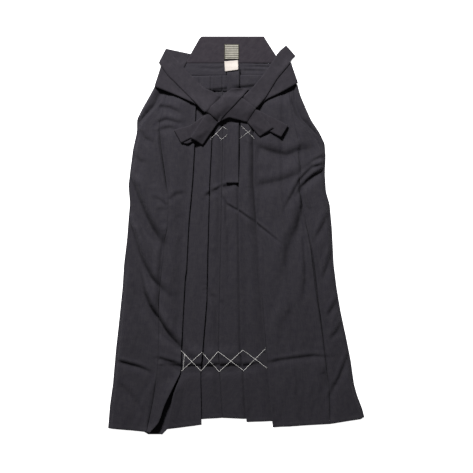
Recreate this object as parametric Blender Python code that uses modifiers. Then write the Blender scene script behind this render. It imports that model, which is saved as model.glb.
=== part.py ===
"""Hakama trousers laid flat on a surface, front up, with the ties folded over the waist.

The waist is at +Y, the hem at -Y, and left and right are as seen from above. The underside of
the back panels is the plane z = 0. Sizes and places are in millimetres, and MM makes them metres.
"""

from functools import partial

import bmesh
import bpy
from mathutils import Vector
from mathutils.bvhtree import BVHTree
from mathutils.kdtree import KDTree

MM = 0.001

# Driving sizes
CLOTH = 1.0             # wall of a panel
TIE = 2.0               # wall of a tie, which is cloth folded over an interlining
BAND = 1.5              # wall of the front waistband and the centre strip
BOARD = 5.0             # thickness of the stiffened back board
LABEL = 1.0             # wall of a sewn-on label
GAP = 0.3               # air between two pieces that touch
LAID_GAP = 0.4          # air under a ribbon that is laid over others
LAYER = CLOTH + GAP     # one more layer of panel cloth
BASE = CLOTH / 2 + 2 * LAYER    # middle of the front where it lies over a gusset and the back
CLEAR = 1.5             # how far a fold's neighbour keeps from the fold, in plan

WAIST_Y = 427.0         # top of the front panels, under the waistband
BACK_TOP_Y = 466.0      # where the back panels meet the back board
CENTRE_BACK_X = 6.0     # edge of the centre back pleat
BACK_PLEAT = 32.0       # how far the pleat's inner layer runs back
RIGHT_UNDERLAP = 50.0   # depth of the outermost pleat on the right
INNER_UNDERLAP = 0.58   # depth of an inner pleat, as a share of its strip's width
CENTRE_LAP = 10.0       # how far the centre seam lies under the last pleat
RAMP = 14.0             # run over which a layer climbs onto a pleat's underlap

UPPER_STEPS = 24        # steps down a panel to the lower basting
LOWER_STEPS = 8         # steps from there to the hem, where the first pleat springs open
HEM_TRIES = 4           # times a column's line and its hem are brought together
LOWER_FROM = 0.82       # share of the panel's length where the lower steps start
BACK_STEPS = 4          # steps across a back panel
SIDE_STEPS = 7          # steps across a side panel
OUTER_STEPS = 6         # steps across the strip before the first pleat
STRIP_STEPS = 2         # steps across the raised part of a strip between two pleats
CENTRE_STEPS = 3        # steps across the strip between the left and the right pleats
GUSSET_STEPS = (6, 2)   # steps down and across a gusset
TIE_STEPS = 4           # steps across a tie
TIE_ROW = 10.0          # longest step along a tie
REACH = 14.0            # a laid piece clears everything this near it
MAX_SLOPE = 0.35        # steepest fall of a laid piece from what carries it
SKY = 100.0             # height from which a laid piece looks down for its rest
SMALLEST_RISE = 0.001   # a laid piece is left where it would rise by less than this

# Lines that run from the waist down: (y, x)
BACK_EDGE_LEFT = (
    (466, -138), (410, -217), (378, -234), (345, -253), (313, -269), (280, -269), (231, -280),
    (183, -286), (134, -292), (85, -288), (53, -291), (-12, -296), (-78, -304), (-143, -308),
    (-240, -318), (-311, -326), (-403, -334), (-460, -342), (-522, -347),
)
BACK_EDGE_RIGHT = (
    (466, 121), (410, 165), (378, 174), (345, 188), (313, 202), (280, 224), (248, 240),
    (215, 242), (166, 240), (118, 243), (85, 253), (20, 259), (-78, 264), (-143, 272),
    (-208, 283), (-273, 297), (-338, 310), (-403, 319), (-435, 328), (-468, 341), (-492, 347),
)
SLIT_LEFT = ((430, -190), (391, -202), (376, -210), (351, -221), (306, -263), (291, -269))
SLIT_RIGHT = ((430, 153), (391, 156), (359, 157), (318, 174), (272, 219), (230, 239))
SEAM_LEFT = (
    (430, -180), (391, -188), (340, -198), (292, -209), (230, -202), (147, -190), (96, -183),
    (15, -186), (-12, -193), (-172, -209), (-280, -209), (-365, -212), (-451, -225), (-532, -242),
)
SEAM_RIGHT = (
    (430, 142), (391, 143), (350, 148), (314, 155), (259, 167), (207, 169), (183, 176), (128, 170),
    (53, 185), (-38, 203), (-140, 214), (-216, 228), (-327, 241), (-435, 254), (-511, 254),
)
PLEAT_1 = (
    (430, -107), (248, -113), (157, -118), (109, -122), (34, -129), (-92, -135), (-118, -139),
    (-308, -149), (-370, -150), (-457, -193), (-506, -209), (-533, -234),
)
PLEAT_2 = (
    (430, -67), (254, -67), (138, -73), (15, -76), (-92, -79), (-172, -80), (-307, -91),
    (-370, -97), (-511, -94),
)
PLEAT_3 = ((430, -37), (261, -37), (-313, -49), (-369, -46), (-495, -38))
PLEAT_4 = ((430, 10), (286, 10), (177, 4), (15, 8), (-307, 13), (-365, 20), (-500, 28))
PLEAT_5 = ((430, 48), (153, 48), (58, 55), (-118, 64), (-301, 78), (-365, 86), (-518, 99))
UNDERLAP_1 = (
    (430, -152), (96, -164), (-172, -180), (-330, -186), (-380, -196), (-450, -232), (-538, -262),
)
# Below the basting the first pleat springs open, and the strip behind it starts at this line
OPEN_PLEAT = ((-370, -147), (-430, -170), (-515, -188), (-538.5, -201))
OPEN_RISE = 3.0
OPEN_RUN = 50.0
OPEN_STEP = 0.3         # share of the way up where the step has another column

# Hems, from left to right: (x, y)
HEM_BACK = (
    (-347, -519), (-262, -526), (-130, -514), (-98, -500), (-60, -490), (20, -490), (60, -499),
    (110, -513), (240, -507), (335, -489), (347, -486),
)
HEM_SIDE_LEFT = ((-347, -522), (-299, -527), (-242, -531))
HEM_OUTER_LEFT = ((-242, -531), (-234, -533))
HEM_STRIP_2 = ((-262, -538.5), (-201, -538.5), (-188, -524), (-120, -517), (-94, -512))
HEM_CENTRE = ((-94, -497), (-38, -494), (28, -497))
HEM_STRIP_4 = ((28, -505), (99, -503))
HEM_OUTER_RIGHT = ((99, -519), (173, -517), (254, -510))
HEM_SIDE_RIGHT = ((254, -510), (303, -506), (335, -498), (347, -492))

# Gussets lie between front and back from the crotch down: (y, left x, right x)
GUSSET_LEFT = ((60, -42, -31), (-488, -95, -31))
GUSSET_RIGHT = ((60, 12, 22), (-486, 12, 85))

# Loose cloth stands up by these heights, and troughs press it down again
PUFF = 3.2
STRIP_PUFF = 1.5
FOLD_PUFF = 0.4         # share of the puff that a pleat's fold keeps
PUFF_FADE = 45.0
PUFF_TOP_Y = 360.0      # the cloth above this lies flat under the waistband
TROUGHS = (             # from x, y to x, y, half width
    (-285, 110, -212, -7, 16), (-272, -12, -215, -130, 16), (-268, -110, -152, -308, 18),
    (-196, 106, -123, 112, 14), (-321, -342, -224, -376, 14), (-139, -357, 21, -348, 20),
    (54, 141, 182, 162, 22), (115, 210, 220, 240, 18), (237, 180, 190, 152, 14),
    (224, 200, 130, 70, 14), (130, 6, 57, 30, 14), (86, -342, 281, -319, 18),
    (241, -376, 255, -435, 14), (255, -435, 300, -338, 14), (168, 60, 142, -34, 14),
    (244, 50, 216, -8, 14),
)

# Ties, as rows across them: x, y at one edge and x, y at the other. The root runs out to the
# fold at the hip, the top comes back over the waist to its end, and the tail is folded under it.
FRONT_TIE_LEFT = dict(
    root=((-195.3, 398, -195.3, 446), (-220, 402, -206, 449)),
    top=((-220, 402, -206, 449), (-164, 380, -149, 418), (-111, 356, -95, 394),
         (-83, 331, -62, 366), (-27, 322, -12, 361), (29, 310, 46, 345), (120, 266, 139, 298)),
    tail=((120, 266, 139, 298), (50, 299, 68, 332)),
)
FRONT_TIE_RIGHT = dict(
    root=((140.3, 404, 140.3, 452), (166, 412, 147, 454)),
    top=((166, 412, 147, 454), (120, 386, 102, 423), (80, 367, 62, 404), (56, 342, 34, 374),
         (0, 326, -18, 362), (-60, 301, -82, 328), (-104, 272, -124, 297), (-147, 250, -167, 286)),
    tail=((-147, 250, -167, 286), (-133, 244, -153, 281), (-112, 254, -130, 290),
          (-75, 279, -98, 309)),
)
BACK_TIE_LEFT = dict(
    root=((-144, 455, -126, 491), (-209, 466, -189, 506)),
    top=((-209, 466, -189, 506), (-185, 432, -154, 468), (-164, 412, -120, 431),
         (-106, 359, -85, 397), (-94, 349, -63, 389), (-83, 337, -42, 376), (-18, 319, 5, 366),
         (29, 306, 52, 342), (64, 266, 101, 290)),
    tail=(),
)
BACK_TIE_RIGHT = dict(
    root=((129, 453, 109, 490), (160, 485, 134, 514)),
    top=((160, 485, 134, 514), (147, 473, 115, 498), (112, 425, 74, 436), (80, 373, 47, 403),
         (55, 343, 17, 373), (-18, 317, -40, 352), (-47, 306, -78, 334), (-91, 244, -125, 264)),
    tail=(),
)
WRAP_LEFT = ((29, 305, 54, 343), (4, 312, 16, 372), (-20, 318, -8, 372), (-45, 306, -30, 372))
WRAP_RIGHT = ((-47, 305, -82, 336), (-15, 340, -44, 369), (4, 360, -32, 384), (35, 396, -12, 397))

# The front waistband: x, lower y, upper y
WAISTBAND = ((-195, 398, 446), (-120, 390, 431), (75, 391, 434), (140, 404, 452))
WAISTBAND_STEPS = 40

# The strip that hangs from the back board and runs under the ties: x, y at both edges
CENTRE_STRIP = ((-25, 456, 9, 456), (-25, 400, 9, 400), (-27, 142, 6, 142))
STRIP_CURL = 3.0
STRIP_CURL_ROWS = 3

BOARD_OUTLINE = (
    (-93, 538.5), (75, 538.5), (105, 490), (121, 466), (-138, 466), (-123, 492), (-99, 533),
)
BOARD_ROUNDING = 0.8
PATCH = dict(x=-12.5, y=497.0, width=41.0, height=44.0)
SIZE_LABEL = ((-31, 443, 4, 447), (-32, 474, 4, 474))

CLOTH_COLOUR = (0.033, 0.031, 0.038, 1.0)
PATCH_COLOUR = (0.012, 0.011, 0.012, 1.0)
LABEL_COLOUR = (0.85, 0.83, 0.78, 1.0)
CLOTH_ROUGHNESS = 0.85


def add_piece(name, mesh, colour):
    """One named object in the garment's collection, with its own material."""
    material = bpy.data.materials.new(name)
    material.use_nodes = True
    surface = material.node_tree.nodes["Principled BSDF"]
    surface.inputs["Base Color"].default_value = colour
    surface.inputs["Roughness"].default_value = CLOTH_ROUGHNESS
    surface.inputs["Metallic"].default_value = 0.0
    mesh.materials.append(material)
    piece = bpy.data.objects.new(name, mesh)
    bpy.data.collections["hakama_trousers"].objects.link(piece)
    return piece


def sheet(name, points, wall, colour=CLOTH_COLOUR):
    """A cloth wall from rows of points on its middle: a grid, moved into place and thickened."""
    mesh = bpy.data.meshes.new(name)
    grid = bmesh.new()
    bmesh.ops.create_grid(grid, x_segments=len(points[0]) - 1, y_segments=len(points) - 1, size=0.5)
    for corner, place in zip(grid.verts, [place for row in points for place in row]):
        corner.co = Vector(place) * MM
    grid.to_mesh(mesh)
    grid.free()
    thicken = add_piece(name, mesh, colour).modifiers.new("cloth wall", "SOLIDIFY")
    thicken.thickness = wall * MM
    thicken.offset = 0.0
    thicken.solidify_mode = "NON_MANIFOLD"
    thicken.nonmanifold_thickness_mode = "CONSTRAINTS"


def along(table, place):
    """The rest of a table's row at a place in its first column, read straight between rows."""
    falling = table[0][0] > table[-1][0]
    for low, high in zip(table, table[1:]):
        inside = place >= high[0] if falling else place <= high[0]
        if inside or high is table[-1]:
            share = (place - low[0]) / (high[0] - low[0])
            return [a + (b - a) * share for a, b in zip(low[1:], high[1:])]


def line(table, y):
    """The x of a line at a height y."""
    return along(table, y)[0]


def smooth(share):
    share = min(max(share, 0.0), 1.0)
    return share * share * (3.0 - 2.0 * share)


def between(start, end, steps):
    return [start + (end - start) * step / steps for step in range(steps + 1)]


def upper_side(points, wall):
    """The upper side of a laid piece, for what is laid on it later: its faces and its corners."""
    columns = len(points[0])
    corners = [Vector((x, y, z + wall / 2)) for row in points for x, y, z in row]
    quads = []
    for row in range(len(points) - 1):
        for first in range(row * columns, row * columns + columns - 1):
            quads.append((first, first + 1, first + columns + 1, first + columns))
    return seen_from_above(corners, quads)


def seen_from_above(corners, faces):
    """Faces to look down on, and their corners found by place."""
    places = KDTree(len(corners))
    for index, corner in enumerate(corners):
        places.insert((corner.x, corner.y, 0.0), index)
    places.balance()
    return BVHTree.FromPolygons(corners, faces), places, corners


# Panels. A column is a line down a panel: x as a function of y, its hem, and its height as a
# function of x and y. Columns run across the panel and back under it where it is pleated.

def level(height):
    return lambda x, y: height


def mix(start_at, end_at, share):
    return lambda y: start_at(y) + (end_at(y) - start_at(y)) * share


def shift(x_at, distance):
    return lambda y: x_at(y) + distance


def panel(name, columns, top_y=WAIST_Y):
    """A panel from its columns. Its rows are closer together below the basting."""
    shares = between(0.0, LOWER_FROM, UPPER_STEPS)[:-1] + between(LOWER_FROM, 1.0, LOWER_STEPS)
    lines = []
    for x_at, hem, height in columns:
        hem_y = hem[0][1]
        for _ in range(HEM_TRIES):
            hem_y = along(hem, x_at(hem_y))[0]
        heights = [top_y + (hem_y - top_y) * share for share in shares]
        lines.append([(x_at(y), y, height(x_at(y), y)) for y in heights])
    points = list(zip(*lines))
    sheet(name, points, CLOTH)
    return upper_side(points, CLOTH)


def back_panels():
    """Two flat back panels. The right one runs back over the left one as the centre pleat."""
    ground, inner = level(CLOTH / 2), level(CLOTH / 2 + LAYER)
    riser_x = CENTRE_BACK_X + CLOTH / 2 + GAP
    left_edge, right_edge = partial(line, BACK_EDGE_LEFT), partial(line, BACK_EDGE_RIGHT)
    centre, riser = (lambda y: CENTRE_BACK_X), (lambda y: riser_x)
    shares = between(0.0, 1.0, BACK_STEPS)
    left = [(mix(left_edge, centre, share), HEM_BACK, ground) for share in shares]
    right = [(shift(riser, -BACK_PLEAT), HEM_BACK, inner), (riser, HEM_BACK, inner)]
    right += [(mix(riser, right_edge, share), HEM_BACK, ground) for share in shares]
    top_y = BACK_TOP_Y - GAP
    return [panel("back_left", left, top_y), panel("back_right", right, top_y)]


def gusset(name, table):
    """A flat inner-leg piece between the front and the back."""
    points = []
    down, across = GUSSET_STEPS
    for y in between(table[0][0], table[-1][0], down):
        points.append([(x, y, CLOTH / 2 + LAYER) for x in between(*along(table, y), across)])
    sheet(name, points, CLOTH)


def front_edge(side, y):
    """Outer edge of the front: the slit at the hip, then the side seam."""
    slit, edge = (SLIT_LEFT, BACK_EDGE_LEFT) if side < 0 else (SLIT_RIGHT, BACK_EDGE_RIGHT)
    return line(slit, y) if y > slit[-1][0] else line(edge, y)


def outer_underlap(side, y):
    """Where the hidden layer of the outermost pleat turns back."""
    return line(UNDERLAP_1, y) if side < 0 else line(PLEAT_5, y) + RIGHT_UNDERLAP


def trough(x, y):
    """How far the troughs press the cloth down at a place: 1 where they are deepest."""
    here = Vector((x, y))
    press = 0.0
    for x0, y0, x1, y1, half_width in TROUGHS:
        start, end = Vector((x0, y0)), Vector((x1, y1))
        share = (here - start).dot(end - start) / (end - start).length_squared
        nearest = start.lerp(end, min(max(share, 0.0), 1.0))
        press = max(press, 1.0 - smooth((here - nearest).length / half_width))
    return press


def opened(y):
    """How far the first left pleat has sprung open at a height: 1 near the hem."""
    return smooth((OPEN_PLEAT[0][0] - y) / OPEN_RUN)


def outer_height(side, seam, fold, x, y):
    """Middle of the front between its outer edge and the fold of the outermost pleat."""
    to_edge = abs(x - front_edge(side, y))
    to_fold = abs(x - line(fold, y))
    step = max(RAMP, abs(line(seam, y) - line(fold, y)) / OUTER_STEPS)
    past_underlap = side * (outer_underlap(side, y) - x) + CLEAR + step
    on_underlap = min(max(past_underlap / RAMP + 1.0, 0.0), 1.0)
    loose = smooth(to_edge / PUFF_FADE) * (FOLD_PUFF + (1.0 - FOLD_PUFF) * smooth(to_fold / PUFF_FADE))
    loose *= smooth((PUFF_TOP_Y - y) / PUFF_FADE)
    lift = PUFF * loose * (1.0 - trough(x, y))
    if side < 0:
        lift += OPEN_RISE * opened(y) * smooth(1.0 - to_fold / PUFF_FADE)
    return CLOTH / 2 + LAYER * (1.0 + smooth(to_edge / PUFF_FADE) + 2.0 * on_underlap) + lift


def strip_height(x, y):
    """Middle of a raised strip between two pleats."""
    loose = (1.0 - trough(x, y)) * smooth((PUFF_TOP_Y - y) / PUFF_FADE)
    return BASE + 2 * LAYER + STRIP_PUFF * loose


def centre_height(x, y):
    """Middle of the strip between the left and the right pleats."""
    return strip_height(x, y) - 2 * LAYER


def under_pleat(fold_at, underlap_at, hem):
    """Columns of a pleat's two hidden layers, from its fold to where it turns back."""
    return [(fold_at, hem, level(BASE + LAYER)), (underlap_at, hem, level(BASE + LAYER)),
            (underlap_at, hem, level(BASE))]


def inner_underlap(start_at, fold_at):
    return mix(fold_at, start_at, INNER_UNDERLAP)


def raised_strip(side, start_at, fold_at, hem):
    """Columns of a strip between two pleats, which climbs onto its own underlap."""
    top_at = shift(inner_underlap(start_at, fold_at), side * CLEAR)
    columns = [(shift(start_at, -side * CLEAR), hem, level(BASE))]
    for share in between(0.0, 1.0, STRIP_STEPS):
        columns.append((mix(top_at, fold_at, share), hem, strip_height))
    return columns


def open_strip_at(y):
    """Where the strip behind the first left pleat starts to show."""
    hidden_x = line(PLEAT_1, y) + 2 * CLEAR
    return hidden_x if y > OPEN_PLEAT[0][0] else max(hidden_x, line(OPEN_PLEAT, y))


def open_strip(fold_at, hem):
    """Columns of the strip behind the first left pleat, with a step up where the pleat gapes."""
    start_at = open_strip_at
    top_at = shift(inner_underlap(start_at, fold_at), -CLEAR)

    def climb(share):
        return lambda x, y: BASE + OPEN_RISE * opened(y) * (1.0 - share) + 2 * LAYER * share

    columns = [(shift(partial(line, PLEAT_1), CLEAR), hem, level(BASE)),
               (shift(start_at, -CLEAR / 2), hem, level(BASE))]
    columns += [(mix(start_at, top_at, share), hem, climb(share)) for share in (0.0, OPEN_STEP)]
    for share in between(0.0, 1.0, STRIP_STEPS):
        columns.append((mix(top_at, fold_at, share), hem, strip_height))
    return columns


def left_pleats():
    """The pleated left front, from the side panel's seam to the hidden centre seam."""
    seam_at = shift(partial(line, SEAM_LEFT), GAP / 2)
    pleat_1, pleat_2, pleat_3, pleat_4 = (
        partial(line, pleat) for pleat in (PLEAT_1, PLEAT_2, PLEAT_3, PLEAT_4))
    height = partial(outer_height, -1, SEAM_LEFT, PLEAT_1)
    columns = [(mix(seam_at, pleat_1, share), HEM_OUTER_LEFT, height)
               for share in between(0.0, 1.0, OUTER_STEPS)]
    columns += under_pleat(pleat_1, partial(line, UNDERLAP_1), HEM_OUTER_LEFT)
    columns += open_strip(pleat_2, HEM_STRIP_2)
    columns += under_pleat(pleat_2, inner_underlap(open_strip_at, pleat_2), HEM_STRIP_2)
    columns += raised_strip(-1, pleat_2, pleat_3, HEM_CENTRE)
    columns += under_pleat(pleat_3, inner_underlap(pleat_2, pleat_3), HEM_CENTRE)
    centre_from, centre_to = shift(pleat_3, CLEAR), shift(pleat_4, -CLEAR)
    columns.append((centre_from, HEM_CENTRE, level(BASE)))
    columns += [(mix(centre_from, centre_to, share), HEM_CENTRE, centre_height)
                for share in between(0.0, 1.0, CENTRE_STEPS)[1:-1]]
    columns.append((centre_to, HEM_CENTRE, level(BASE)))
    columns.append((shift(pleat_4, CENTRE_LAP), HEM_CENTRE, level(BASE)))
    return panel("front_left_pleats", columns)


def right_pleats():
    """The pleated right front, from the side panel's seam to the hidden centre seam."""
    seam_at = shift(partial(line, SEAM_RIGHT), -GAP / 2)
    pleat_4, pleat_5 = partial(line, PLEAT_4), partial(line, PLEAT_5)
    height = partial(outer_height, 1, SEAM_RIGHT, PLEAT_5)
    columns = [(mix(seam_at, pleat_5, share), HEM_OUTER_RIGHT, height)
               for share in between(0.0, 1.0, OUTER_STEPS + 1)]
    columns += under_pleat(pleat_5, partial(outer_underlap, 1), HEM_OUTER_RIGHT)
    columns += raised_strip(1, pleat_5, pleat_4, HEM_STRIP_4)
    columns += under_pleat(pleat_4, inner_underlap(pleat_5, pleat_4), HEM_STRIP_4)
    columns.append((shift(pleat_4, CENTRE_LAP + GAP), HEM_CENTRE, level(BASE)))
    return panel("front_right_pleats", columns)


def side_panel(name, side, seam, fold, hem):
    """A front's outer panel, from the slit and the side seam to the seam with the pleats."""
    edge_at = partial(front_edge, side)
    seam_at = shift(partial(line, seam), side * GAP / 2)
    height = partial(outer_height, side, seam, fold)
    columns = [(mix(edge_at, seam_at, share), hem, height)
               for share in between(0.0, 1.0, SIDE_STEPS)]
    return panel(name, columns)


# Laid pieces. A ribbon rests on whatever is already down, a little clear of it.

def highest(x, y, laid):
    """Height of the highest piece that is already down within REACH of a place."""
    top = 0.0
    for faces, places, corners in laid:
        for east in between(x - REACH, x + REACH, 4):
            for north in between(y - REACH, y + REACH, 4):
                hit = faces.ray_cast(Vector((east, north, SKY)), Vector((0, 0, -1)))[0]
                if hit:
                    top = max(top, hit.z)
        for _, index, _ in places.find_range((x, y, 0.0), REACH):
            top = max(top, corners[index].z)
    return top


def ribbon_rows(table, steps_across=TIE_STEPS, longest=TIE_ROW):
    """Rows of places along a ribbon, from the two ends of a few rows across it."""
    rows = []
    for start, end in zip(table, table[1:]):
        steps = max(1, round(max(abs(a - b) for a, b in zip(start, end)) / longest))
        last = steps + 1 if end is table[-1] else steps
        for step in range(last):
            ax, ay, bx, by = (a + (b - a) * step / steps for a, b in zip(start, end))
            rows.append(list(zip(between(ax, bx, steps_across), between(ay, by, steps_across))))
    return rows


def beside(points, row, column):
    for down, right in ((-1, 0), (1, 0), (0, -1), (0, 1)):
        if 0 <= row + down < len(points) and 0 <= column + right < len(points[0]):
            yield points[row + down][column + right]


def lay(rows, wall, laid):
    """Points on the middle of a ribbon that rests on what is down, with no steep fall."""
    points = []
    for row in rows:
        tops = [highest(x, y, laid) for x, y in row]
        points.append([Vector((x, y, top + wall / 2 + (LAID_GAP if top else 0.0)))
                       for (x, y), top in zip(row, tops)])
    raised = True
    while raised:
        raised = False
        for row in range(len(points)):
            for column, here in enumerate(points[row]):
                floor = max(other.z - MAX_SLOPE * (here.xy - other.xy).length
                            for other in beside(points, row, column))
                if here.z < floor - SMALLEST_RISE:
                    here.z = floor
                    raised = True
    return points


def tie(name, shape, laid, root_laid):
    """A tie folded at the hip, and folded under at its end where it has a tail."""
    root = lay(ribbon_rows(shape["root"]), TIE, root_laid)
    tail = lay(ribbon_rows(shape["tail"]), TIE, laid) if shape["tail"] else []
    under = laid + [upper_side(part, TIE) for part in (root, tail) if part]
    top = lay(ribbon_rows(shape["top"]), TIE, under)
    sheet(name, root + top + tail, TIE)
    laid.append(upper_side(top, TIE))


def ribbon(name, table, wall, laid, colour=CLOTH_COLOUR):
    """A short ribbon or label that rests on what is down."""
    points = lay(ribbon_rows(table), wall, laid)
    sheet(name, points, wall, colour)
    laid.append(upper_side(points, wall))


def waistband(laid):
    """The front waistband, over the tops of the front panels."""
    rows = []
    for x in between(WAISTBAND[0][0], WAISTBAND[-1][0], WAISTBAND_STEPS):
        rows.append([(x, y) for y in between(*along(WAISTBAND, x), TIE_STEPS)])
    points = lay(rows, BAND, laid)
    sheet("front_waistband", points, BAND)
    laid.append(upper_side(points, BAND))


def centre_strip(laid):
    """The strip under the knot, with its free end curled up a little."""
    points = lay(ribbon_rows(CENTRE_STRIP, steps_across=3), BAND, laid)
    for step, row in enumerate(points[-STRIP_CURL_ROWS:], start=1):
        for place in row:
            place.z += STRIP_CURL * (step / STRIP_CURL_ROWS) ** 2
    sheet("centre_strip", points, BAND)
    laid.append(upper_side(points, BAND))


def back_board(laid):
    """The stiffened board at the back of the waist: a flat outline, given its thickness."""
    curve = bpy.data.curves.new("back_board", "CURVE")
    curve.dimensions = "2D"
    curve.fill_mode = "BOTH"
    curve.extrude = BOARD / 2 * MM
    outline = curve.splines.new("POLY")
    outline.points.add(len(BOARD_OUTLINE) - 1)
    for point, (x, y) in zip(outline.points, BOARD_OUTLINE):
        point.co = (x * MM, y * MM, 0.0, 1.0)
    outline.use_cyclic_u = True
    board = add_piece("back_board", curve, CLOTH_COLOUR)
    board.location.z = BOARD / 2 * MM
    weld = board.modifiers.new("caps", "WELD")
    weld.merge_threshold = 0.0001
    rounding = board.modifiers.new("rounded edges", "BEVEL")
    rounding.width = BOARD_ROUNDING * MM
    rounding.segments = 2
    corners = [Vector((x, y, BOARD)) for x, y in BOARD_OUTLINE]
    laid.append(seen_from_above(corners, [tuple(range(len(corners)))]))


def back_patch():
    """The bare woven patch on the board."""
    box = bmesh.new()
    bmesh.ops.create_cube(box, size=1.0)
    size = Vector((PATCH["width"], PATCH["height"], LABEL)) * MM
    bmesh.ops.scale(box, vec=size, verts=box.verts)
    mesh = bpy.data.meshes.new("back_patch")
    box.to_mesh(mesh)
    box.free()
    patch = add_piece("back_patch", mesh, PATCH_COLOUR)
    patch.location = Vector((PATCH["x"], PATCH["y"], BOARD + GAP + LABEL / 2)) * MM


def build():
    for item in list(bpy.data.objects):
        bpy.data.objects.remove(item, do_unlink=True)
    collection = bpy.data.collections.new("hakama_trousers")
    bpy.context.scene.collection.children.link(collection)

    ground = back_panels()
    gusset("gusset_left", GUSSET_LEFT)
    gusset("gusset_right", GUSSET_RIGHT)
    laid = list(ground)
    laid.append(left_pleats())
    laid.append(right_pleats())
    laid.append(side_panel("front_left_side", -1, SEAM_LEFT, PLEAT_1, HEM_SIDE_LEFT))
    laid.append(side_panel("front_right_side", 1, SEAM_RIGHT, PLEAT_5, HEM_SIDE_RIGHT))
    waistband(laid)
    centre_strip(laid)
    back_board(laid)
    back_patch()
    ribbon("size_label", SIZE_LABEL, LABEL, laid, LABEL_COLOUR)
    tie("front_tie_left", FRONT_TIE_LEFT, laid, laid)
    tie("front_tie_right", FRONT_TIE_RIGHT, laid, laid)
    tie("back_tie_right", BACK_TIE_RIGHT, laid, ground)
    tie("back_tie_left", BACK_TIE_LEFT, laid, ground)
    ribbon("tie_wrap_left", WRAP_LEFT, TIE, laid)
    ribbon("tie_wrap_right", WRAP_RIGHT, TIE, laid)


build()
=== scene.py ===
"""The look of the hakama trousers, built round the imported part.

Places and sizes are in millimetres, and MM makes them metres; flat cuts, light and camera are in
metres. The waist is at +Y, the hem at -Y, left and right are as seen from above, and the surface
that the garment lies on is z = 0.
"""

import math

import bpy
import numpy as np
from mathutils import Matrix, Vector
from mathutils.bvhtree import BVHTree


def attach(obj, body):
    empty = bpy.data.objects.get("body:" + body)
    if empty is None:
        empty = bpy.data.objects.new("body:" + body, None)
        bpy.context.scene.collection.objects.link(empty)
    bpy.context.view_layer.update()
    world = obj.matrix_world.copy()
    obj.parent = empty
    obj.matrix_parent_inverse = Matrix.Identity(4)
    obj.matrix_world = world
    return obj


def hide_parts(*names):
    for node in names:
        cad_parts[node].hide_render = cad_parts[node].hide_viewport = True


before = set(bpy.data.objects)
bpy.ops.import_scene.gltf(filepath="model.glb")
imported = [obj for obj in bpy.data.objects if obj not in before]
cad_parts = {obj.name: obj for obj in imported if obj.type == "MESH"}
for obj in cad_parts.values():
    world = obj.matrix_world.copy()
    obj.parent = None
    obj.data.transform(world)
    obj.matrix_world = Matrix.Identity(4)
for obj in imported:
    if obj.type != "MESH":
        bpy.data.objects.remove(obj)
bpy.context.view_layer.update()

bpy.ops.object.select_all(action="DESELECT")

MM = 0.001

# ---- sizes

CLOTH = 0.8             # wall of a panel
TIE = 1.5               # a tie at its middle
TIE_EDGE = 0.5          # a tie at its pressed edges
TIE_ACROSS = 12         # steps across a tie
BAND = 1.4              # the waistband and the strip
BOARD = 4.8             # the stiff board
BOARD_THINNING = 1.6    # how much of that its rounded rim loses
LABEL = 0.9             # the patch and the label
GAP = 0.3               # between a piece and what carries it
SEAM_GAP = 0.08         # between two panels sewn edge to edge
LAYER = 1.3             # from the middle of one layer of cloth to the next
GROUND = 0.5            # middle of the back panels
BASE = GROUND + 2 * LAYER       # middle of the front over the gussets
TOP = BASE + 2 * LAYER          # middle of a strip over its own pleat
TURN = LAYER / 2        # radius of a fold
CLEAR = 1.5             # what a layer keeps from the fold beside it

WAIST_Y = 427.0         # upper end of the front
BACK_TOP_Y = 465.7      # upper end of the back, at the board's foot
HEM_Y = -520.0          # about where the hems are
CENTRE_BACK_X = 6.0     # where the right back laps over the left one
BACK_PLEAT = 32.0       # how far it laps
RIGHT_UNDERLAP = 50.0   # how far the last pleat runs under the front
INNER_UNDERLAP = 0.58   # the same for an inner one, as a share of its strip
CENTRE_LAP = 10.0       # how far the two fronts lap
RAMP = 14.0             # way over which the front climbs on to an underlap

ROW, BACK_ROW = 2.7, 3.0        # steps down a panel
STITCH = 2.6            # step across a panel
BACK_STEPS = 44         # steps across half the back

# Lines that run from the waist down: (y, x)
BACK_EDGE_LEFT = (
    (466, -138), (410, -217), (378, -234), (345, -253), (313, -269), (280, -269), (231, -280),
    (183, -286), (134, -292), (85, -288), (53, -291), (-12, -296), (-78, -304), (-143, -308),
    (-240, -318), (-311, -326), (-403, -334), (-460, -342), (-522, -347),
)
BACK_EDGE_RIGHT = (
    (466, 121), (410, 165), (378, 174), (345, 188), (313, 202), (280, 224), (248, 240),
    (215, 242), (166, 240), (118, 243), (85, 253), (20, 259), (-78, 264), (-143, 272),
    (-208, 283), (-273, 297), (-338, 310), (-403, 319), (-435, 328), (-468, 341), (-492, 347),
)
SLIT_LEFT = ((430, -190), (391, -202), (376, -210), (351, -221), (306, -263), (291, -268))
SLIT_RIGHT = ((430, 153), (391, 156), (359, 157), (318, 174), (272, 219), (230, 239))
SLIT_FOOT = {-1: 285, 1: 225}   # its lower end, left and right
SEAM_LEFT = (
    (430, -180), (391, -188), (340, -198), (292, -209), (230, -202), (147, -190), (96, -183),
    (15, -186), (-12, -193), (-172, -209), (-280, -209), (-365, -212), (-451, -225), (-532, -242),
)
SEAM_RIGHT = (
    (430, 142), (391, 143), (350, 148), (314, 155), (259, 167), (207, 169), (183, 176), (128, 170),
    (53, 185), (-38, 203), (-140, 214), (-216, 228), (-327, 241), (-435, 254), (-511, 254),
)
PLEAT_1 = (
    (430, -107), (248, -113), (157, -118), (109, -122), (34, -129), (-92, -135), (-118, -139),
    (-308, -149), (-370, -150), (-457, -193), (-506, -209), (-533, -234),
)
PLEAT_2 = (
    (430, -67), (254, -67), (138, -73), (15, -76), (-92, -79), (-172, -80), (-307, -91),
    (-370, -97), (-511, -94),
)
PLEAT_3 = ((430, -37), (261, -37), (-313, -49), (-369, -46), (-495, -38))
PLEAT_4 = (
    (430, 12.5), (286, 12.5), (177, 9), (130, 7), (15, 8), (-307, 13), (-365, 20), (-500, 28),
)
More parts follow.
